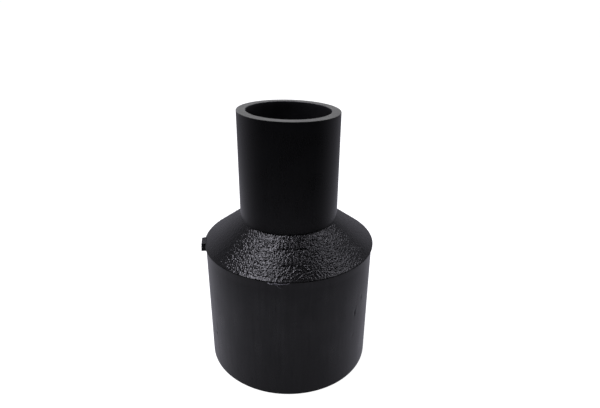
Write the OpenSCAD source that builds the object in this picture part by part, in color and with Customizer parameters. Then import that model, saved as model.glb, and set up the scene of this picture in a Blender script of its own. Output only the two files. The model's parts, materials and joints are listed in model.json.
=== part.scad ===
// Long-spigot reducer in black polyethylene, moulded in one piece, for butt fusion.
// It stands on its large end. The origin is the centre of that end face, and +Z runs
// through the bore to the small end. Each module is one zone of the moulding, and
// neighbouring zones meet face to face. All lengths are in millimetres.

/* [Large spigot] */
// Outside diameter of the large pipe end
large_od = 110; // [105:1:125]
// Wall thickness of the large pipe end
large_wall = 10; // [8:0.5:12]
// Length of the large pipe end, up to the shoulder
large_len = 85.5; // [60:0.5:120]
// Length below the shoulder over which the outside widens a little
draft_len = 5; // [5:0.5:10]
// How much the radius grows over that length
draft = 0.1; // [0.05:0.05:0.2]

/* [Small spigot] */
// Outside diameter of the small pipe end
small_od = 63; // [50:1:70]
// Wall thickness of the small pipe end
small_wall = 5.8; // [4.6:0.1:8]
// Length of the straight outside of the small pipe end
small_len = 67.5; // [50:0.5:90]

/* [Reducing cone] */
// Height of the cone, its shoulder band and its neck fillet together
cone_len = 19; // [16:0.5:30]
// How far the shoulder stands proud of the large pipe end
lip = 0.8; // [0.3:0.1:1.5]
// Height of the upright band round the shoulder
lip_height = 0.6; // [0.3:0.1:1.5]
// Radius of the fillet where the cone runs into the small pipe end
neck_r = 1; // [0.5:0.5:4]
// How far below the shoulder the bore starts to narrow
taper_drop = 5; // [1:0.5:8]
// Height of the tapered stretch of bore
taper_len = 16; // [12:1:16]

/* [End faces] */
// Bevel on the outside edge of each pipe end
edge_break = 0.5; // [0.2:0.1:1]

/* [Gate stub] */
// Width of the trimmed moulding gate, round the shoulder
stub_w = 9; // [4:0.5:14]
// How far the trimmed gate reaches down below the shoulder
stub_down = 4.4; // [2:0.1:4.8]
// How far it reaches up beside the cone
stub_up = 1.4; // [0:0.1:3]
// How far the trimmed gate stands out from the large pipe end
stub_reach = 3.2; // [2:0.1:5]

/* [Raised marks] */
// Width of each raised bar
bar_w = 1.2; // [0.8:0.1:1.6]
// Distance from one bar to the next
bar_pitch = 2.2; // [2:0.1:3]
// How far the bars stand proud of the cone
bar_rise = 0.5; // [0.3:0.1:1]
// Turn of both rows of bars round the axis, from -Y towards +X
marks_turn = -3; // [-180:1:180]
// Number of bars in the upper row
upper_count = 8; // [3:1:12]
// Length of the upper bars, down the slope
upper_h = 4; // [2:0.5:5]
// Distance down the slope from the neck to the middle of the upper row
upper_down = 7; // [5:0.5:9]
// Number of bars in the lower row
lower_count = 6; // [3:1:14]
// Length of the lower bars, down the slope
lower_h = 5; // [2:0.5:6]
// Distance down the slope from the neck to the middle of the lower row
lower_down = 17; // [15:0.5:18]

/* [Hidden] */

$fn = 180;
fillet_steps = 8;

large_r = large_od / 2;
large_bore_r = large_r - large_wall;
small_r = small_od / 2;
small_bore_r = small_r - small_wall;

neck_z = large_len + cone_len;
total_len = neck_z + small_len;
plain_len = large_len - draft_len;
taper_start = large_len - taper_drop;
taper_end = taper_start + taper_len;

// Radius of the tapered bore at a height z
function taper_r(z) =
    large_bore_r + (small_bore_r - large_bore_r) * (z - taper_start) / taper_len;

// The slope of the cone runs from the shoulder point up to the neck fillet, as a tangent
// of that fillet. The fillet's centre stands neck_r outside the small pipe end.
shoulder = [large_r + lip, large_len + lip_height];
fillet_c = [small_r + neck_r, neck_z];
to_fillet = fillet_c - shoulder;
tangent_len = sqrt(to_fillet * to_fillet - neck_r * neck_r);
slope_angle = atan2(to_fillet.y, to_fillet.x) + asin(neck_r / norm(to_fillet));
up_slope = [cos(slope_angle), sin(slope_angle)];
off_slope = [sin(slope_angle), -cos(slope_angle)];

// A point on the slope, measured down from where the fillet ends
function slope_point(down) = shoulder + (tangent_len - down) * up_slope;

// The large pipe end, up to the plane of the shoulder, with the start of the tapered bore
module large_spigot() {
    color("#2b2b2e")
        rotate_extrude()
            polygon([
                [large_bore_r, 0],
                [large_r - edge_break, 0],
                [large_r, edge_break],
                [large_r, plain_len],
                [large_r + draft, large_len],
                [taper_r(large_len), large_len],
                [large_bore_r, taper_start],
            ]);
}

// The cone between the pipe ends, with its proud shoulder band and its neck fillet
module reducing_cone() {
    fillet = [
        for (i = [0 : fillet_steps])
            let (a = slope_angle + 90 + (90 - slope_angle) * i / fillet_steps)
                fillet_c + neck_r * [cos(a), sin(a)]
    ];
    color("#3a3a3e")
        rotate_extrude()
            polygon(concat(
                [
                    [taper_r(large_len), large_len],
                    [shoulder.x, large_len],
                    shoulder,
                ],
                fillet,
                [
                    [small_bore_r, neck_z],
                    [small_bore_r, taper_end],
                ]
            ));
}

// The small pipe end, from the neck to its sawn end face
module small_spigot() {
    color("#1c1c1f")
        rotate_extrude()
            polygon([
                [small_bore_r, neck_z],
                [small_r, neck_z],
                [small_r, total_len - edge_break],
                [small_r - edge_break, total_len],
                [small_bore_r, total_len],
            ]);
}

// What is left of the moulding gate after trimming, beside the shoulder on the -X side
module gate_stub() {
    color("#232326")
        difference() {
            translate([-large_r - stub_reach, -stub_w / 2, large_len - stub_down])
                cube([stub_reach + stub_w / 2, stub_w, stub_down + stub_up]);
            rotate_extrude()
                polygon([
                    [0, plain_len],
                    [large_r, plain_len],
                    [large_r + draft, large_len],
                    [shoulder.x, large_len],
                    shoulder,
                    slope_point(0),
                    [0, slope_point(0).y],
                ]);
        }
}

// A row of raised bars that lie on the cone and point up its slope
module bar_row(count, bar_h, down) {
    low = slope_point(down + bar_h / 2);
    high = slope_point(down - bar_h / 2);
    row_r = slope_point(down).x;
    bar_turn = atan(bar_w / row_r);
    pitch_turn = atan(bar_pitch / row_r);
    first_turn = marks_turn - 90 - (pitch_turn * (count - 1) + bar_turn) / 2;
    for (i = [0 : count - 1])
        rotate([0, 0, first_turn + i * pitch_turn])
            rotate_extrude(angle = bar_turn)
                polygon([low, low + bar_rise * off_slope, high + bar_rise * off_slope, high]);
}

// Upper row of bars, where the size would be cast
module upper_marks() {
    color("#45454a")
        bar_row(upper_count, upper_h, upper_down);
}

// Lower row of bars, where the material and pressure rating would be cast
module lower_marks() {
    color("#45454a")
        bar_row(lower_count, lower_h, lower_down);
}

large_spigot();
reducing_cone();
small_spigot();
gate_stub();
upper_marks();
lower_marks();
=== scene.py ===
"""Looks of the long-spigot reducer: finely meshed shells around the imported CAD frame.

Every shell is a closed solid of revolution, or a small closed solid on one. It keeps the
dimensions of the CAD zone it replaces, apart from the lean of the sawn end, and adds what
moulding, sawing and trimming leave: rounded edges, grain, saw marks, nicks and swarf.
Lengths are in metres, in the CAD frame: +Z up the bore, large end on the floor at z = 0.
"""

import json
import math

import bmesh
import bpy
import numpy as np
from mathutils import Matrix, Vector, noise


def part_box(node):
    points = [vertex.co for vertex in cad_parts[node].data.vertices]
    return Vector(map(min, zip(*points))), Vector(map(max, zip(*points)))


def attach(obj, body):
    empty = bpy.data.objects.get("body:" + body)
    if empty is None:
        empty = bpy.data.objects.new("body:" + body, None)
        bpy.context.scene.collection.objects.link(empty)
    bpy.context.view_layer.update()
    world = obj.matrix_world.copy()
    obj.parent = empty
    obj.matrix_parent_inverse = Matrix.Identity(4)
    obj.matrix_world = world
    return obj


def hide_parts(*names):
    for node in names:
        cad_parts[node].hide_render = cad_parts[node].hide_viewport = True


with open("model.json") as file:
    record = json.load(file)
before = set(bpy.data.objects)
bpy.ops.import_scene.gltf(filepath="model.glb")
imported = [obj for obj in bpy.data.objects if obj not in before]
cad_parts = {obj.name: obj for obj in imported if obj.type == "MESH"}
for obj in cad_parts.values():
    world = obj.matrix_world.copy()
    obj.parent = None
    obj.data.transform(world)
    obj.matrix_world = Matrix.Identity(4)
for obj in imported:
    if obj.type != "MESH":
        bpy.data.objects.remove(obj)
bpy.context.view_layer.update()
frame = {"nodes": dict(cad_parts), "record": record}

MM = 0.001
CAD_EDGE_BREAK = 0.5 * MM   # bevel on the outside edge of the CAD's pipe ends

# ---------------------------------------------------------------- dimensions from the frame

MOUNTS = {m["name"]: m for m in frame["record"]["mounts"]}


def mount_radius(name):
    return MOUNTS[name]["dims"]["r_mm"] * MM


R_LARGE = mount_radius("large_spigot_od")
R_LARGE_BORE = mount_radius("large_bore")
R_SMALL = mount_radius("small_spigot_od")
R_SMALL_BORE = mount_radius("small_bore")
R_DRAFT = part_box("large_spigot")[1].x
R_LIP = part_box("reducing_cone")[1].x
Z_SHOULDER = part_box("reducing_cone")[0].z
Z_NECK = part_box("small_spigot")[0].z
Z_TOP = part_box("small_spigot")[1].z
Z_PLAIN = MOUNTS["large_spigot_od"]["dims"]["length_mm"] * MM + CAD_EDGE_BREAK
Z_TAPER_START = MOUNTS["large_bore"]["dims"]["length_mm"] * MM
Z_TAPER_END = Z_TOP - MOUNTS["small_bore"]["dims"]["length_mm"] * MM

# ---------------------------------------------------------------- sizes of the finish

LIP_BAND = 0.6 * MM         # upright band round the shoulder
NECK_FILLET = 1.0 * MM      # where the cone runs into the small end
LARGE_END_EDGE = 0.5 * MM   # worn outside edge of the large end
SMALL_END_EDGE = 0.35 * MM  # worn outside edge of the small end
INNER_EDGE = 0.50 * MM      # inside edge of both ends
LIP_EDGE = 0.9 * MM         # worn edge of the shoulder
TAPER_EDGE = 1.0 * MM       # rounding where the large bore starts to narrow

GRAIN_CELL = 1.30 * MM      # spacing of the leather grain
GRAIN_DEPTH = 0.50 * MM     # height of its pebbles
GRAIN_SQUASH = 1.6          # how much flatter than wide the pebbles are
GRAIN_LEVEL = 0.75          # share of a pebble's height that lies below the plain slope
GRAIN_SIDES = 0.3           # share of its depth that is left at the two sides of the mould
GRAIN_FADE = (0.40, 0.68)   # it grows to its full depth between these sines of the turn from X
GRAIN_SEED = 1              # the grain's warping would start from the clock without it
GRAIN_SEGMENTS = 940        # divisions of the mesh round the cone
GRAIN_RINGS = 84            # and down its slope

LARGE_SEGMENTS = 600        # divisions of the mesh round the large end
LARGE_OUTSIDE = 0.95 * MM   # spacing of its rings on the outside
LARGE_INSIDE = 3.0 * MM     # and everywhere else
SMALL_SEGMENTS = 480        # divisions of the mesh round the small end
SMALL_OUTSIDE = 0.7 * MM    # spacing of its rings on the outside and the sawn face
SMALL_INSIDE = 2.5 * MM     # and in the bore
ON_WALL = 0.01 * MM         # a point this near the outside counts as on it

CUT_SLOPE_X = -0.0255       # the sawn end is out of square: rise per metre along X
CUT_SLOPE_Y = -0.0199       # and along Y
SAW_STEP = 0.9 * MM         # spacing of the saw marks
SAW_DEPTH = 0.05 * MM
SAW_TURN = 0.5              # how far the direction across them is turned from +X, in radians
SAW_DRIFT = 6 * MM          # length over which their spacing drifts
BORE_GLARE_REACH = 0.4 * MM        # how far from the bore its dull finish and painted glare reach

STUB_EDGE = 0.35 * MM       # rounding of the gate stub's corners
STUB_MESH = 0.45 * MM       # its edges longer than this are halved, up to three times
STUB_TEAR = 0.14 * MM       # depth of its torn surface
STUB_TEAR_SIZE = 0.8 * MM   # and how far apart the tears are
STUB_LEAN = 0.45 * MM       # how far its top is cut back
STUB_DROOP = 0.3 * MM       # how far its top corners drop
MARK_EDGE = 0.3 * MM        # rounding of the raised bars
MARK_ROOT = 0.45 * MM       # how far they go down into the grain
MARK_UNDERSIDE = 0.15 * MM  # points of a bar this near the slope are its underside

# ---------------------------------------------------------------- camera

CAM_TURN = math.radians(-5.9)    # the camera stands this far round from -Y, towards -X
CAM_PITCH = math.radians(25.79)  # how far it looks down
CAM_DISTANCE = 292.3 * MM        # from the axis
CAM_HEIGHT = 240.1 * MM
CAM_SENSOR = 36.0                # width in mm
CAM_LENS = 29.47                 # focal length in mm
CAM_SHIFT_X = 0.0189             # shares of the picture's width
CAM_SHIFT_Y = 0.0267


def add_camera():
    data = bpy.data.cameras.new("camera")
    data.sensor_width = CAM_SENSOR
    data.lens = CAM_LENS
    data.shift_x = CAM_SHIFT_X
    data.shift_y = CAM_SHIFT_Y
    data.clip_start = 0.01
    data.clip_end = 50.0
    cam = bpy.data.objects.new("camera", data)
    bpy.context.scene.collection.objects.link(cam)
    cam.location = (
        CAM_DISTANCE * math.sin(CAM_TURN),
        -CAM_DISTANCE * math.cos(CAM_TURN),
        CAM_HEIGHT,
    )
    cam.rotation_euler = (math.pi / 2 - CAM_PITCH, 0.0, CAM_TURN)
    bpy.context.scene.camera = cam


add_camera()

# ---------------------------------------------------------------- mesh helpers


def arc_points(corner, before, after, radius, steps):
    """Points of the round of that radius which replaces a profile's corner."""
    c, a, b = (np.array(p, float) for p in (corner, before, after))
    u = (a - c) / np.linalg.norm(a - c)
    v = (b - c) / np.linalg.norm(b - c)
    half = math.acos(np.clip(u @ v, -1, 1)) / 2
    reach = radius / math.tan(half)
    bisector = (u + v) / np.linalg.norm(u + v)
    centre = c + bisector * radius / math.sin(half)
    start, end = c + u * reach - centre, c + v * reach - centre
    sweep = math.pi - 2 * half
    points = []
    for i in range(steps + 1):
        t = i / steps
        w = (math.sin((1 - t) * sweep) * start + math.sin(t * sweep) * end) / math.sin(sweep)
        points.append(tuple(centre + w))
    return points


def rounded(outline, steps=6):
    """A closed profile of (radius, height, rounding) corners as a list of (r, z, sharp) rings."""
    rings = []
    for i, (r, z, rounding) in enumerate(outline):
        if rounding <= 0:
            rings.append((r, z, True))
            continue
        before, after = outline[i - 1][:2], outline[(i + 1) % len(outline)][:2]
        rings += [(p[0], p[1], False) for p in arc_points((r, z), before, after, rounding, steps)]
    return rings


def spaced(rings, spacing):
    """The same rings from first to last, with more between them at about that spacing."""
    out = []
    for (r, z, sharp), (r2, z2, _) in zip(rings, rings[1:]):
        out.append((r, z, sharp))
        count = max(1, round(math.hypot(r2 - r, z2 - z) / spacing))
        out += [(r + (r2 - r) * k / count, z + (z2 - z) * k / count, False) for k in range(1, count)]
    return out + rings[-1:]


def mark_sharp(mesh, rings, segments):
    """Makes the edges along the sharp rings sharp."""
    sharp_rings = {k for k, ring in enumerate(rings) if ring[2]}
    flags = []
    for edge in mesh.edges:
        first, second = (v // segments for v in edge.vertices)
        flags.append(first == second and first in sharp_rings)
    sharp = mesh.attributes.get("sharp_edge") or mesh.attributes.new("sharp_edge", "BOOLEAN", "EDGE")
    sharp.data.foreach_set("value", flags)


def revolve(name, rings, segments, move):
    """A closed shell: the rings turned about Z, with their points shifted by move."""
    turn = np.linspace(0, 2 * math.pi, segments, endpoint=False)
    r = np.array([x[0] for x in rings])
    z = np.array([x[1] for x in rings])
    co = np.empty((len(rings), segments, 3))
    co[..., 0] = r[:, None] * np.cos(turn)
    co[..., 1] = r[:, None] * np.sin(turn)
    co[..., 2] = z[:, None]
    co = move(co, turn)
    i, j = np.meshgrid(np.arange(len(rings)), np.arange(segments), indexing="ij")
    i2, j2 = (i + 1) % len(rings), (j + 1) % segments
    faces = np.stack([i * segments + j, i * segments + j2, i2 * segments + j2, i2 * segments + j], -1)
    mesh = bpy.data.meshes.new(name)
    mesh.from_pydata(co.reshape(-1, 3), [], faces.reshape(-1, 4))
    mesh.update()
    mesh.shade_smooth()
    mark_sharp(mesh, rings, segments)
    return add_piece(name, mesh)


def add_piece(name, mesh):
    piece = bpy.data.objects.new(name, mesh)
    bpy.context.scene.collection.objects.link(piece)
    return piece


# ---------------------------------------------------------------- materials


class Tree:
    """A short way to write a node tree: add a node, set its inputs, link what is linked."""

    def __init__(self, tree):
        self.tree = tree

    def add(self, kind, settings=None, **inputs):
        node = self.tree.nodes.new(kind)
        for key, value in (settings or {}).items():
            setattr(node, key, value)
        for key, value in inputs.items():
            self.put(node, key.replace("_", " "), value)
        return node

    def put(self, node, key, value):
        socket = node.inputs[int(key)] if key.isdigit() else node.inputs[key]
        if isinstance(value, bpy.types.NodeSocket):
            self.tree.links.new(value, socket)
        else:
            socket.default_value = value

    def fit(self, value, low, high, to_low, to_high, curve="LINEAR"):
        """value from low..high to to_low..to_high, held at the ends."""
        found = self.add("ShaderNodeMapRange", {"interpolation_type": curve})
        for key, number in zip(("From Min", "From Max", "To Min", "To Max"), (low, high, to_low, to_high)):
            self.put(found, key, number)
        self.put(found, "Value", value)
        return found.outputs["Result"]

    def math(self, operation, a, b):
        found = self.add("ShaderNodeMath", {"operation": operation})
        self.put(found, "0", a)
        self.put(found, "1", b)
        return found.outputs[0]

    def mix(self, share, a, b):
        """Colour a where share is 0 and b where it is 1."""
        found = self.add("ShaderNodeMix", {"data_type": "RGBA"})
        self.put(found, "0", share)
        self.put(found, "6", a)
        self.put(found, "7", b)
        return found.outputs[2]


class Nodes(Tree):
    """The node tree of a new material."""

    def __init__(self, name):
        self.material = bpy.data.materials.new(name)
        self.material.use_nodes = True
        super().__init__(self.material.node_tree)
        self.shader = self.tree.nodes["Principled BSDF"]

    def place(self, scale):
        """Position in the row frame, in millimetres, stretched by scale."""
        here = self.add("ShaderNodeTexCoord")
        grown = self.add("ShaderNodeMapping", Scale=[s / MM for s in scale])
        self.put(grown, "Vector", here.outputs["Object"])
        return grown.outputs["Vector"]

    def clouds(self, size_mm, detail=3.0, roughness=0.55, scale=(1, 1, 1), distortion=0.0):
        """Noise whose blotches are about size_mm across."""
        found = self.add("ShaderNodeTexNoise", Scale=1.0 / size_mm, Detail=detail,
                         Roughness=roughness, Distortion=distortion)
        self.put(found, "Vector", self.place(scale))
        return found.outputs["Fac"]

    def blend(self, cloud, a, b):
        """Colour a to colour b over the middle of a noise."""
        return self.mix(self.fit(cloud, 0.35, 0.65, 0.0, 1.0), a, b)

    def vary(self, cloud, low, high):
        """low to high over the middle of a noise."""
        return self.fit(cloud, 0.3, 0.7, low, high)

    def bump(self, height, depth_mm, normal=None):
        found = self.add("ShaderNodeBump", Strength=1.0, Distance=depth_mm * MM)
        self.put(found, "Height", height)
        if normal is not None:
            self.put(found, "Normal", normal)
        return found.outputs["Normal"]


def grey(level, cool=1.0):
    """A near neutral black, a touch towards blue violet."""
    return (level * (1 + 0.02 * cool), level, level * (1 + 0.12 * cool), 1.0)


def finish_plastic(n, colour, rough, normal):
    n.put(n.shader, "Base Color", colour)
    n.put(n.shader, "Roughness", rough)
    n.shader.inputs["IOR"].default_value = 1.51
    n.shader.inputs["Specular IOR Level"].default_value = 0.5
    n.put(n.shader, "Normal", normal)
    return n.material


def scratches(n, size_mm, share):
    """Sparse thin upright lines, 1 on a line and 0 off it."""
    lines = n.clouds(size_mm, 2.0, 0.5, (1, 1, 0.04), 0.3)
    return n.fit(lines, share, share + 0.03, 0.0, 1.0)


def smooth_moulded():
    """The large end: satin black with faint upright wipe marks, dust and light scratches."""
    n = Nodes("smooth_moulded_black")
    blotch = n.clouds(22.0, 3.0)
    wipe = n.clouds(2.2, 3.0, 0.6, (1, 1, 0.06))
    fine = n.clouds(0.35, 2.0)
    dust = n.fit(n.clouds(0.9, 2.0), 0.70, 0.76, 0.0, 1.0)
    scratch = scratches(n, 0.5, 0.70)
    colour = n.blend(blotch, grey(0.0035), grey(0.0045))
    colour = n.mix(n.math("MULTIPLY", dust, 0.35), colour, grey(0.03, 0.3))
    rough = n.math("ADD", n.vary(blotch, 0.27, 0.33), n.vary(wipe, -0.03, 0.03))
    rough = n.math("ADD", rough, n.math("MULTIPLY", scratch, 0.12))
    normal = n.bump(wipe, 0.013)
    normal = n.bump(fine, 0.008, normal)
    normal = n.bump(scratch, -0.01, normal)
    return finish_plastic(n, colour, rough, normal)


def satin_moulded():
    """The small end: a shade darker and smoother, with faint upright draw marks."""
    n = Nodes("satin_moulded_black")
    blotch = n.clouds(15.0, 3.0)
    draw = n.clouds(1.2, 3.0, 0.6, (1, 1, 0.05))
    fine = n.clouds(0.3, 2.0)
    scratch = scratches(n, 0.45, 0.71)
    colour = n.blend(blotch, grey(0.005), grey(0.006))
    rough = n.math("ADD", n.vary(blotch, 0.26, 0.31), n.vary(draw, -0.015, 0.015))
    rough = n.math("ADD", rough, n.math("MULTIPLY", scratch, 0.12))
    normal = n.bump(draw, 0.007)
    normal = n.bump(fine, 0.006, normal)
    normal = n.bump(scratch, -0.01, normal)
    return finish_plastic(n, colour, rough, normal)


def glare_lifted_bore():
    """The bore faces: dull, and painted a lighter black than the same plastic outside, as painted glare in
    the bore.
    """
    n = Nodes("glare_lifted_bore_black")
    bore_blotch = n.clouds(7.0, 3.0)
    fine = n.clouds(0.4, 2.0)
    # Painted glare: the bore is coloured lighter than the black plastic it is made of.
    colour = n.blend(bore_blotch, grey(0.012), grey(0.018))
    return finish_plastic(n, colour, n.vary(bore_blotch, 0.46, 0.56), n.bump(fine, 0.01))


def grained():
    """The cone: burnished on the pebbles, dull in the valleys between them, and the valleys painted darker
    as painted shade.
    """
    n = Nodes("grained_black")
    height = n.add("ShaderNodeAttribute", {"attribute_name": "grain"}).outputs["Fac"]
    fine = n.clouds(0.45, 3.0, 0.6)
    blotch = n.clouds(14.0, 3.0)
    # The valleys are painted darker than the pebble tops: painted shade in the hollows of the grain.
    colour = n.mix(n.fit(height, 0.1, 0.9, 0.0, 1.0), grey(0.002), grey(0.008))
    rough = n.math("ADD", n.fit(height, 0.0, 1.0, 0.32, 0.14), n.vary(blotch, -0.04, 0.04))
    normal = n.bump(fine, 0.04)
    return finish_plastic(n, colour, rough, normal)


def sawn():
    """The sawn end face: dry grey with fine scored lines."""
    n = Nodes("sawn_grey")
    blotch = n.clouds(6.0, 3.0)
    score = n.clouds(0.35, 3.0, 0.6, (0.08, 1, 1), 0.4)
    speck = n.fit(n.clouds(0.5, 2.0), 0.66, 0.72, 0.0, 1.0)
    colour = n.blend(blotch, grey(0.144, -1.1), grey(0.182, -1.1))
    colour = n.mix(n.fit(score, 0.35, 0.6, 0.0, 0.5), colour, grey(0.11, -0.5))
    colour = n.mix(n.math("MULTIPLY", speck, 0.5), colour, grey(0.30, -0.5))
    rough = n.vary(score, 0.55, 0.75)
    normal = n.bump(score, 0.05)
    return finish_plastic(n, colour, rough, normal)


def trimmed():
    """The gate stub: torn and knife-cut black plastic."""
    n = Nodes("trimmed_black")
    tear = n.clouds(0.8, 4.0, 0.65, (1, 0.3, 1), 0.5)
    colour = n.blend(tear, grey(0.006), grey(0.014))
    rough = n.vary(tear, 0.42, 0.62)
    return finish_plastic(n, colour, rough, n.bump(tear, 0.08))


def raised():
    """The raised marks: the cone's black, rubbed a little glossier on top."""
    n = Nodes("raised_black")
    rub = n.clouds(1.1, 3.0)
    fine = n.clouds(0.25, 2.0)
    colour = n.blend(rub, grey(0.006), grey(0.01))
    return finish_plastic(n, colour, n.vary(rub, 0.28, 0.42), n.bump(fine, 0.02))


def swarf():
    """The thread of swarf: duller than the rest, and paler, partly as stretched plastic whitens and partly
    as painted light that lifts it out of the shade under the shoulder.
    """
    n = Nodes("swarf_black")
    pull = n.clouds(0.7, 3.0)
    # Paler than the rest: partly painted light, lifting the thread out of the shoulder's shade.
    colour = n.blend(pull, grey(0.11), grey(0.18))
    return finish_plastic(n, colour, n.vary(pull, 0.4, 0.5), n.bump(pull, 0.02))


# ---------------------------------------------------------------- the cone and its grain

# The slope runs from the shoulder band up to the neck fillet, as a tangent of the fillet.
_foot = np.array([R_LIP, Z_SHOULDER + LIP_BAND])
_centre = np.array([R_SMALL + NECK_FILLET, Z_NECK])
_line = _centre - _foot
SLOPE_LENGTH = math.sqrt(_line @ _line - NECK_FILLET**2)
SLOPE_ANGLE = math.atan2(_line[1], _line[0]) + math.asin(NECK_FILLET / np.linalg.norm(_line))
UP_SLOPE = np.array([math.cos(SLOPE_ANGLE), math.sin(SLOPE_ANGLE)])
OFF_SLOPE = np.array([math.sin(SLOPE_ANGLE), -math.cos(SLOPE_ANGLE)])


def slope_point(down):
    """(radius, height) on the slope, a distance down from the end of the neck fillet."""
    return _foot + (SLOPE_LENGTH - down) * UP_SLOPE


def smoothstep(low, high, x):
    t = np.clip((x - low) / (high - low), 0, 1)
    return t * t * (3 - 2 * t)


def grain_height(p):
    """0 in the valleys to 1 on the ridges, at a point in metres."""
    q = Vector((p[0], p[1], p[2] * GRAIN_SQUASH)) / GRAIN_CELL
    q += 0.4 * noise.noise_vector(q * 0.7)
    near = noise.voronoi(q)[0]
    pebble = smoothstep(0.0, 0.6, near[1] - near[0])
    worm = 0.5 + 0.75 * noise.noise(q * 1.1 + Vector((7.3, 1.9, 4.1)))
    return float(np.clip(0.65 * pebble + 0.35 * worm, 0, 1))


def taper_radius(z):
    t = (z - Z_TAPER_START) / (Z_TAPER_END - Z_TAPER_START)
    return R_LARGE_BORE + (R_SMALL_BORE - R_LARGE_BORE) * t


def cone_rings():
    """Rings of the cone's profile, and how strongly each carries grain."""
    inner = [(taper_radius(Z_SHOULDER), Z_SHOULDER, True), (R_LIP, Z_SHOULDER, True)]
    band = [(R_LIP, Z_SHOULDER + LIP_BAND * t, False) for t in (0.35, 0.65)]
    foot = slope_point(SLOPE_LENGTH)
    worn = arc_points(foot, band[0][:2], slope_point(0), LIP_EDGE, 4)
    top = SLOPE_LENGTH - LIP_EDGE
    downs = np.linspace(top, 0, GRAIN_RINGS)
    slope = [(*slope_point(d), False) for d in downs[1:]]
    first, last = SLOPE_ANGLE + math.pi / 2, math.pi
    arc = [
        (_centre[0] + NECK_FILLET * math.cos(a), _centre[1] + NECK_FILLET * math.sin(a), False)
        for a in np.linspace(first, last, 9)[1:]
    ]
    arc[-1] = (R_SMALL, Z_NECK, True)
    bore = [(R_SMALL_BORE, Z_NECK, True), (R_SMALL_BORE, (Z_NECK + Z_TAPER_END) / 2, False)]
    bore += [(R_SMALL_BORE, Z_TAPER_END, True)]
    rings = inner + band + [(p[0], p[1], False) for p in worn] + slope + arc + bore
    strength = [0.0] * (len(inner) + len(band)) + [0.15 * i for i in range(len(worn))]
    strength += [min(1.0, 0.7 + 0.1 * i) for i in range(len(slope))]
    strength += [1 - (i + 1) / len(arc) for i in range(len(arc))] + [0.0] * len(bore)
    return rings, np.array(strength)


def grain_spread(turn):
    """Share of the grain's depth round the cone: full at the front and back, less at the sides."""
    return GRAIN_SIDES + (1 - GRAIN_SIDES) * smoothstep(*GRAIN_FADE, np.abs(np.sin(turn)))


def make_cone():
    rings, strength = cone_rings()
    heights = np.zeros((len(rings), GRAIN_SEGMENTS))

    def move(co, turn):
        for i in np.nonzero(strength > 0)[0]:
            heights[i] = [grain_height(p) for p in co[i]]
        depth = (heights - GRAIN_LEVEL) * GRAIN_DEPTH * strength[:, None] * grain_spread(turn)
        co[..., 0] += depth * OFF_SLOPE[0] * np.cos(turn)
        co[..., 1] += depth * OFF_SLOPE[0] * np.sin(turn)
        co[..., 2] += depth * OFF_SLOPE[1]
        return co

    cone = revolve("cone_shell", rings, GRAIN_SEGMENTS, move)
    layer = cone.data.attributes.new("grain", "FLOAT", "POINT")
    layer.data.foreach_set("value", (heights * strength[:, None]).reshape(-1).astype(np.float32))
    cone.data.materials.append(grained())
    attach(cone, "root")
    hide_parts("reducing_cone")


# ---------------------------------------------------------------- the pipe ends


# Handling dents in the outside of the large end: (turn from +X in degrees, height in mm,
# reach sideways and upwards in mm, depth in mm). The depth fades out smoothly, to about a
# third at the reach, and a negative depth is a raised burr.
DENTS = (
    (-45.8, 50.3, 0.7, 2.0, 0.45),
    (-43.8, 51.5, 0.9, 2.4, -0.12),
    (-38.1, 58.0, 0.6, 1.8, 0.35),
    (-47.0, 33.0, 1.2, 1.0, 0.12),
    (-156.8, 27.5, 0.9, 1.2, 0.38),
    (-157.4, 32.9, 1.2, 3.0, -0.15),
    (-90.4, 56.4, 3.2, 2.6, 0.11),
    (38.0, 22.0, 1.0, 0.8, 0.20),
    (121.0, 47.0, 0.6, 2.0, 0.22),
    (76.0, 66.0, 1.3, 0.7, 0.16),
    (158.0, 12.0, 0.9, 1.1, 0.20),
)


def dented(co, turn):
    """The outside pressed in at each dent, and the wall a few hundredths out of round."""
    lobes = 0.03 * np.sin(3 * turn + 0.7) + 0.02 * np.sin(7 * turn + 2.1)
    push = np.tile(lobes * MM, (co.shape[0], 1))
    outside = np.hypot(co[..., 0], co[..., 1]) > R_LARGE - ON_WALL
    for at, height, wide, tall, depth in DENTS:
        round_by = (np.degrees(turn) - at + 180) % 360 - 180
        across = np.radians(round_by)[None, :] * R_LARGE / (wide * MM)
        along = (co[..., 2] - height * MM) / (tall * MM)
        push -= depth * MM * np.exp(-across**2 - along**2) * outside
    scale = 1 + push / R_LARGE
    co[..., 0] *= scale
    co[..., 1] *= scale
    return co


def make_large_end():
    outline = [
        (R_LARGE_BORE, 0.0, INNER_EDGE),
        (R_LARGE, 0.0, LARGE_END_EDGE),
        (R_LARGE, Z_PLAIN, 0.0),
        (R_DRAFT, Z_SHOULDER, 0.0),
        (taper_radius(Z_SHOULDER), Z_SHOULDER, 0.0),
        (R_LARGE_BORE, Z_TAPER_START, TAPER_EDGE),
    ]
    rings = [(r, z, sharp and z > Z_PLAIN) for r, z, sharp in rounded(outline)]
    wall = [k for k, ring in enumerate(rings) if ring[0] > R_LARGE - ON_WALL]
    fine = spaced(rings[wall[0]:wall[-1] + 1], LARGE_OUTSIDE)
    rest = spaced(rings[wall[-1]:] + rings[:wall[0] + 1], LARGE_INSIDE)
    piece = revolve("large_spigot_shell", fine[:-1] + rest[:-1], LARGE_SEGMENTS, dented)
    piece.data.materials.append(smooth_moulded())
    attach(piece, "root")
    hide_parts("large_spigot")


def rim_lean(x, y):
    """How much higher than square the sawn end is, over a point."""
    return CUT_SLOPE_X * x + CUT_SLOPE_Y * y


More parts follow.
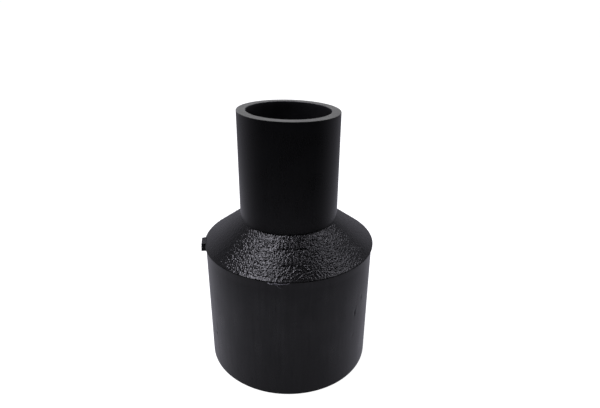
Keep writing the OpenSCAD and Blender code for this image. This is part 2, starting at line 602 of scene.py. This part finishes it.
def make_small_end():
    outline = [
        (R_SMALL_BORE, Z_NECK, 0.0),
        (R_SMALL, Z_NECK, 0.0),
        (R_SMALL, Z_TOP, SMALL_END_EDGE),
        (R_SMALL_BORE, Z_TOP, INNER_EDGE),
    ]
    rings = rounded(outline, 4)
    bore = rings[-1:] + rings[:1]
    rings = spaced(rings, SMALL_OUTSIDE) + spaced(bore, SMALL_INSIDE)[1:-1]

    def cut(co, turn):
        """Leans the end face as it was sawn, and scores it."""
        share = np.clip((co[..., 2] - Z_NECK) / (Z_TOP - Z_NECK), 0, 1)
        lean = rim_lean(co[..., 0], co[..., 1])
        face = smoothstep(Z_TOP - 0.5 * MM, Z_TOP - 0.1 * MM, co[..., 2])
        across = co[..., 0] * math.cos(SAW_TURN) + co[..., 1] * math.sin(SAW_TURN)
        score = np.sin(2 * math.pi * across / SAW_STEP + 3 * np.sin(across / SAW_DRIFT))
        co[..., 2] += lean * share + SAW_DEPTH * face * (score - 1) / 2
        return co

    piece = revolve("small_spigot_shell", rings, SMALL_SEGMENTS, cut)
    for material in (satin_moulded(), sawn(), glare_lifted_bore()):
        piece.data.materials.append(material)
    centres = np.array([p.center for p in piece.data.polygons])
    on_face = centres[:, 2] - rim_lean(centres[:, 0], centres[:, 1]) > Z_TOP - 0.3 * MM
    # Faces near the bore take its dull finish with the painted glare.
    in_bore = np.hypot(centres[:, 0], centres[:, 1]) < R_SMALL_BORE + BORE_GLARE_REACH
    slots = np.where(in_bore, 2, on_face)
    piece.data.polygons.foreach_set("material_index", slots.astype(np.int32))
    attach(piece, "root")
    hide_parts("small_spigot")


# ---------------------------------------------------------------- gate stub, marks and swarf


def softened(node, name, edge):
    """A copy of a CAD node with its corners rounded to about that radius."""
    work = bmesh.new()
    work.from_mesh(frame["nodes"][node].data)
    bmesh.ops.remove_doubles(work, verts=work.verts, dist=0.001 * MM)
    bmesh.ops.dissolve_limit(work, angle_limit=math.radians(3), verts=work.verts, edges=work.edges)
    corners = [e for e in work.edges if e.calc_face_angle(0.0) > math.radians(30)]
    bmesh.ops.bevel(work, geom=corners, offset=edge, segments=3, profile=0.5, affect="EDGES",
                    clamp_overlap=True)
    bmesh.ops.remove_doubles(work, verts=work.verts, dist=0.01 * MM)
    bmesh.ops.dissolve_degenerate(work, edges=work.edges, dist=0.005 * MM)
    bmesh.ops.triangulate(work, faces=list(work.faces))
    mesh = bpy.data.meshes.new(name)
    work.to_mesh(mesh)
    work.free()
    mesh.shade_smooth()
    return add_piece(name, mesh)


def make_gate_stub():
    piece = softened("gate_stub", "gate_stub_trimmed", STUB_EDGE)
    low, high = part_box("gate_stub")
    work = bmesh.new()
    work.from_mesh(piece.data)
    for _ in range(3):
        long_edges = [e for e in work.edges if e.calc_length() > STUB_MESH]
        bmesh.ops.subdivide_edges(work, edges=long_edges, cuts=1)
        bmesh.ops.triangulate(work, faces=list(work.faces))
    for v in work.verts:
        out = np.clip((-R_LIP - v.co.x) / (-R_LIP - low.x), 0, 1)
        up = (v.co.z - low.z) / (high.z - low.z)
        torn = noise.noise(v.co / STUB_TEAR_SIZE) * STUB_TEAR * out
        v.co.x += (STUB_LEAN * up + torn) * out
        v.co.z += torn * 0.5 - STUB_DROOP * out * up * (v.co.y / (high.y - low.y) * 2) ** 2
    work.to_mesh(piece.data)
    work.free()
    piece.data.materials.append(trimmed())
    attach(piece, "root")
    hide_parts("gate_stub")


def make_marks(node, name):
    piece = softened(node, name, MARK_EDGE)
    for v in piece.data.vertices:
        r = math.hypot(v.co.x, v.co.y)
        if (np.array([r, v.co.z]) - _foot) @ OFF_SLOPE < MARK_UNDERSIDE:
            # The underside goes down past the valleys of the grain.
            scale = 1 - MARK_ROOT * OFF_SLOPE[0] / r
            v.co.x *= scale
            v.co.y *= scale
            v.co.z -= MARK_ROOT * OFF_SLOPE[1]
    piece.data.materials.clear()
    piece.data.materials.append(raised())
    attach(piece, "root")
    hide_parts(node)


# The swarf under the front of the shoulder, as three threads from one root. Each point is
# (turn from +X in degrees, height above the shoulder's lower edge, distance out from it, in mm).
THREADS = (
    ((-104.4, 0.1, 0.0), (-103.0, 0.1, 0.9), (-101.0, 0.0, 1.1), (-98.0, -0.1, 0.9), (-95.2, 0.3, 0.0)),
    ((-104.4, 0.1, 0.1), (-103.4, -0.5, 1.1), (-102.2, -1.2, 1.3), (-101.0, -2.5, 1.2), (-99.6, -3.6, 0.1)),
    ((-104.2, 0.1, 0.1), (-105.6, -0.3, 0.9), (-107.0, -0.3, 0.9), (-108.6, 0.2, 0.0)),
)
THREAD_RADIUS = 0.36 * MM
THREAD_STEPS = 36           # rings along a thread
THREAD_SIDES = 8            # points round each


def thread(points):
    """The vertices and faces of a closed tube round a smooth path near the points."""
    steps, sides = THREAD_STEPS, THREAD_SIDES
    knots = np.linspace(0, 1, len(points))
    spots = np.linspace(0, 1, steps)
    turn, rise, out = (np.polyval(np.polyfit(knots, col, 3), spots) for col in np.array(points).T)
    r = R_LIP + out * MM
    path = np.stack([r * np.cos(np.radians(turn)), r * np.sin(np.radians(turn)),
                     Z_SHOULDER + rise * MM], 1)
    ahead = np.gradient(path, axis=0)
    ahead /= np.linalg.norm(ahead, axis=1)[:, None]
    side = np.cross(ahead, (0, 0, 1.0))
    side /= np.linalg.norm(side, axis=1)[:, None]
    up = np.cross(side, ahead)
    thick = THREAD_RADIUS * (0.2 + 0.8 * np.sin(math.pi * (0.1 + 0.85 * spots)))
    angles = np.linspace(0, 2 * math.pi, sides, endpoint=False)
    rings = path[:, None] + thick[:, None, None] * (
        np.cos(angles)[None, :, None] * side[:, None] + 0.6 * np.sin(angles)[None, :, None] * up[:, None])
    faces = [(i * sides + k, (i + 1) * sides + k,
              (i + 1) * sides + (k + 1) % sides, i * sides + (k + 1) % sides)
             for i in range(steps - 1) for k in range(sides)]
    faces.append(tuple(range(sides)))
    faces.append(tuple(reversed(range((steps - 1) * sides, steps * sides))))
    return rings.reshape(-1, 3), faces


def make_curl():
    """The threads of swarf that trimming left under the shoulder."""
    verts, faces = [], []
    for points in THREADS:
        spots, tube = thread(points)
        faces += [tuple(k + len(verts) for k in face) for face in tube]
        verts += [tuple(spot) for spot in spots]
    mesh = bpy.data.meshes.new("trim_curl")
    mesh.from_pydata(verts, [], faces)
    mesh.shade_smooth()
    piece = add_piece("trim_curl", mesh)
    piece.data.materials.append(swarf())
    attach(piece, "root")


noise.seed_set(GRAIN_SEED)
make_marks("upper_marks", "upper_mark_bars")
make_marks("lower_marks", "lower_mark_bars")
make_curl()
make_cone()
make_large_end()
make_small_end()
make_gate_stub()

# ---------------------------------------------------------------- floor and light


FLOOR_HALF = 12.0           # half the width of the floor, in metres
FLOOR_DROP = 0.2 * MM       # how far it lies below the object
FLOOR_GLOW = 0.97           # light the floor gives off itself

LIGHT_TINT = (1.0, 0.985, 1.1)   # colour of both soft lights

# Soft lights over the object: name, place, target, size in metres and watts.
LIGHTS = (
    ("key", (-0.28, 0.12, 0.95), (-0.05, 0, 0.1), (1.0, 0.24), 6.1),
    ("fill", (0.55, 0.15, 0.9), (0.05, 0, 0.1), (0.8, 0.24), 1.8),
)


def plain_material(name, colour, glow):
    material = bpy.data.materials.new(name)
    material.use_nodes = True
    shader = material.node_tree.nodes["Principled BSDF"]
    shader.inputs["Base Color"].default_value = colour
    shader.inputs["Roughness"].default_value = 0.9
    shader.inputs["Emission Color"].default_value = (1, 1, 1, 1)
    shader.inputs["Emission Strength"].default_value = glow
    return material


def add_floor():
    mesh = bpy.data.meshes.new("floor")
    half = FLOOR_HALF
    corners = [(-half, -half, 0), (half, -half, 0), (half, half, 0), (-half, half, 0)]
    mesh.from_pydata(corners, [], [(0, 1, 2, 3)])
    floor = bpy.data.objects.new("floor", mesh)
    floor.location.z = -FLOOR_DROP
    bpy.context.scene.collection.objects.link(floor)
    mesh.materials.append(plain_material("floor_white", (0.5, 0.5, 0.5, 1), FLOOR_GLOW))
    floor.visible_glossy = False
    floor.visible_diffuse = False


def add_soft_light(name, place, target, size, watts):
    data = bpy.data.lights.new(name, "AREA")
    data.color = LIGHT_TINT
    data.shape = "RECTANGLE"
    data.size, data.size_y = size
    data.energy = watts
    light = bpy.data.objects.new(name, data)
    bpy.context.scene.collection.objects.link(light)
    light.location = place
    aim = Vector(target) - Vector(place)
    light.rotation_euler = aim.to_track_quat("-Z", "Y").to_euler()


def height_ramp(n, height, levels):
    """Colour by height of direction: levels are (height from -1 to 1, brightness)."""
    ramp = n.add("ShaderNodeValToRGB", Fac=n.fit(height, -1.0, 1.0, 0.0, 1.0))
    stops = ramp.color_ramp.elements
    stops.remove(stops[-1])
    for i, (at, level) in enumerate(levels):
        stop = stops[0] if i == 0 else stops.new((at + 1) / 2)
        stop.position = (at + 1) / 2
        stop.color = (level, level * SKY_GREEN, level * SKY_BLUE, 1)
    return ramp.outputs["Color"]


# What the surroundings give off by height of direction, from straight down at -1 to straight
# up at 1. In front is the edge of a white table and a dark room, and behind a white backdrop.
# These light the object and show in its gloss. Seen directly, the backdrop is plain white.
FRONT_LEVELS = ((-1.0, 0.1), (-0.74, 0.09), (-0.68, 0.26), (-0.61, 0.74), (-0.56, 0.58), (-0.50, 0.05),
                (-0.36, 0.045), (-0.27, 0.04), (0.0, 0.03), (0.5, 0.02), (1.0, 0.06))
BACK_LEVELS = ((-1.0, 0.2), (-0.6, 0.46), (-0.45, 0.43), (-0.29, 0.22), (-0.1, 0.24), (0.08, 0.355),
               (0.35, 0.355), (0.7, 0.1), (1.0, 0.06))
SKY_GREEN = 0.985           # green against red in the surroundings
SKY_BLUE = 1.12             # and blue against red
BACK_FROM = -0.51           # share of +Y in a direction at which the back starts to show
BACK_FULL = 0.74            # and at which only the back shows
BACK_SWING = 0.10           # how much of +X counts as +Y
LEFT_STRENGTH = 1.07        # brightness of the surroundings towards -X
RIGHT_STRENGTH = 0.85       # and towards +X


def surroundings(n):
    """Colour and brightness of the surroundings, by direction."""
    where = n.add("ShaderNodeTexCoord")
    split = n.add("ShaderNodeSeparateXYZ", Vector=where.outputs["Generated"])
    front = height_ramp(n, split.outputs["Z"], FRONT_LEVELS)
    back = height_ramp(n, split.outputs["Z"], BACK_LEVELS)
    swung = n.add("ShaderNodeMath", {"operation": "MULTIPLY_ADD"})
    n.put(swung, "0", split.outputs["X"])
    n.put(swung, "1", BACK_SWING)
    n.put(swung, "2", split.outputs["Y"])
    behind = n.fit(swung.outputs[0], BACK_FROM, BACK_FULL, 0.0, 1.0, "SMOOTHSTEP")
    strength = n.fit(split.outputs["X"], -1.0, 1.0, LEFT_STRENGTH, RIGHT_STRENGTH)
    return n.mix(behind, front, back), strength


def add_world():
    world = bpy.data.worlds.new("studio")
    world.use_nodes = True
    n = Tree(world.node_tree)
    colour, strength = surroundings(n)
    lighting = n.tree.nodes["Background"]
    n.put(lighting, "Color", colour)
    n.put(lighting, "Strength", strength)
    seen = n.add("ShaderNodeBackground", Color=(1.0, 1.0, 1.0, 1.0), Strength=1.0)
    path = n.add("ShaderNodeLightPath")
    pick = n.add("ShaderNodeMixShader")
    n.put(pick, "0", path.outputs["Is Camera Ray"])
    n.put(pick, "1", lighting.outputs[0])
    n.put(pick, "2", seen.outputs[0])
    n.put(n.tree.nodes["World Output"], "Surface", pick.outputs[0])
    bpy.context.scene.world = world


add_floor()
add_world()
for light in LIGHTS:
    add_soft_light(*light)
bpy.context.scene.view_settings.view_transform = "Standard"
